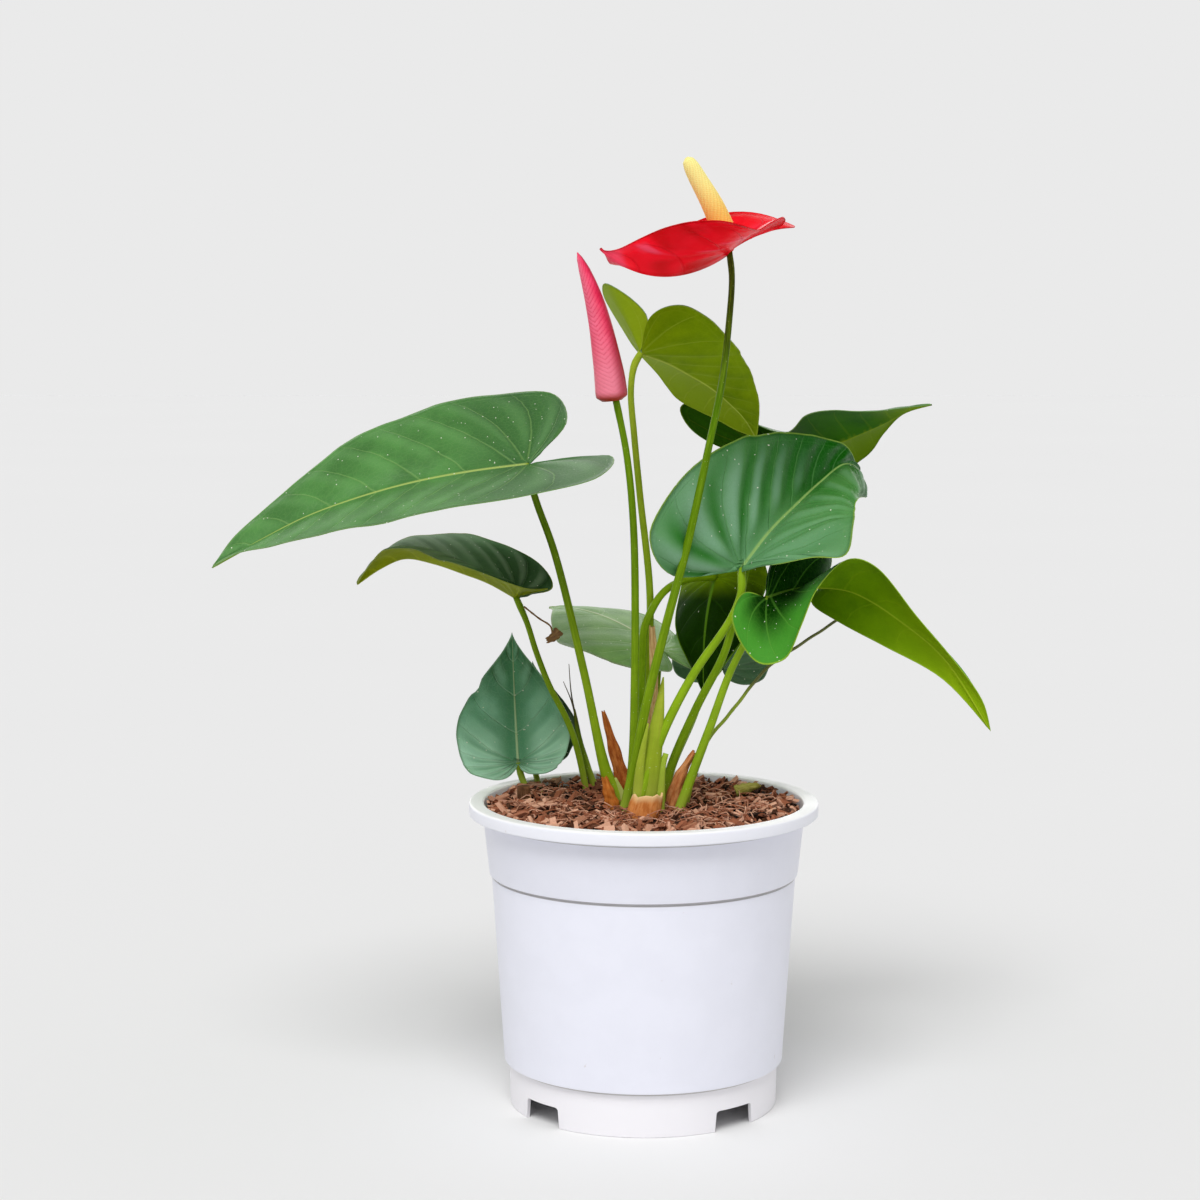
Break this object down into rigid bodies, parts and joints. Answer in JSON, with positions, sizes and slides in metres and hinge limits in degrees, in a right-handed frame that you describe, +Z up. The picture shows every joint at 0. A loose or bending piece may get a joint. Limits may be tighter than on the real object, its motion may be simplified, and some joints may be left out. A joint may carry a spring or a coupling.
{
  "type": "potted anthurium plant",
  "caption": "Potted anthurium with heart-shaped leaves on long stalks, an open red flower with a yellow spadix, a red bud and a white nursery pot of coco husk.",
  "frame": {"origin": "middle of the underside of the pot, on the ground", "axes": "+Z up along the pot; the side seen in the picture looks along -Y, so +X is to the right in the picture and +Y is away from the camera"},
  "size_m": [0.3353, 0.1986, 0.4088],
  "materials": {
    "leaf_upper_left": "glossy living leaf",
    "leaf_lower_left": "glossy living leaf",
    "leaf_low_front": "glossy living leaf",
    "leaf_low_behind": "glossy living leaf",
    "leaf_grey_back": "glossy living leaf",
    "leaf_top_back": "glossy living leaf",
    "leaf_far_right": "glossy living leaf",
    "leaf_big_right": "glossy living leaf",
    "leaf_drooping": "glossy living leaf",
    "leaf_hanging": "glossy living leaf",
    "leaf_low_back": "glossy living leaf",
    "stalk_green": "smooth living stalk",
    "flower_stalk": "smooth living stalk, reddish at the top",
    "spathe": "glossy red bract",
    "spadix": "fine bumpy yellow spike",
    "bud": "satin rolled bract",
    "papery_sheath": "dry and papery",
    "brown_sheath": "dry and fibrous",
    "orange_sheath": "dry, orange brown",
    "torn_sheath": "dry, torn edge",
    "dry_stem": "dry and dull",
    "cut_stub": "rough brown",
    "leaf_scrap": "yellowed leaf",
    "growing_mix": "loose coco husk",
    "pot": "satin white plastic"
  },
  "bodies": {
    "root": {"leaf_upper_left_blade": "leaf_upper_left", "leaf_lower_left_blade": "leaf_lower_left", "leaf_low_front_blade": "leaf_low_front", "leaf_low_behind_blade": "leaf_low_behind", "leaf_grey_back_blade": "leaf_grey_back", "leaf_top_back_blade": "leaf_top_back", "leaf_far_right_blade": "leaf_far_right", "leaf_big_right_blade": "leaf_big_right", "leaf_drooping_blade": "leaf_drooping", "leaf_hanging_blade": "leaf_hanging", "leaf_low_back_blade": "leaf_low_back", "leaf_upper_left_stalk": "stalk_green", "leaf_lower_left_stalk": "stalk_green", "leaf_low_front_stalk": "stalk_green", "leaf_low_behind_stalk": "stalk_green", "leaf_grey_back_stalk": "stalk_green", "leaf_top_back_stalk": "stalk_green", "leaf_far_right_stalk": "stalk_green", "leaf_big_right_stalk": "stalk_green", "leaf_drooping_stalk": "stalk_green", "leaf_hanging_stalk": "stalk_green", "leaf_low_back_stalk": "stalk_green", "flower_stalk": "flower_stalk", "bud_stalk": "flower_stalk", "spathe": "spathe", "spadix": "spadix", "bud_spathe": "bud", "papery_sheath": "papery_sheath", "brown_sheath_left": "brown_sheath", "brown_sheath_right": "brown_sheath", "orange_sheath": "orange_sheath", "torn_sheath": "torn_sheath", "dead_stalk": "dry_stem", "dry_stalk": "dry_stem", "dry_thread": "dry_stem", "cut_stub": "cut_stub", "leaf_scrap": "leaf_scrap", "growing_mix": "growing_mix", "pot": "pot"}
  },
  "joints": []
}
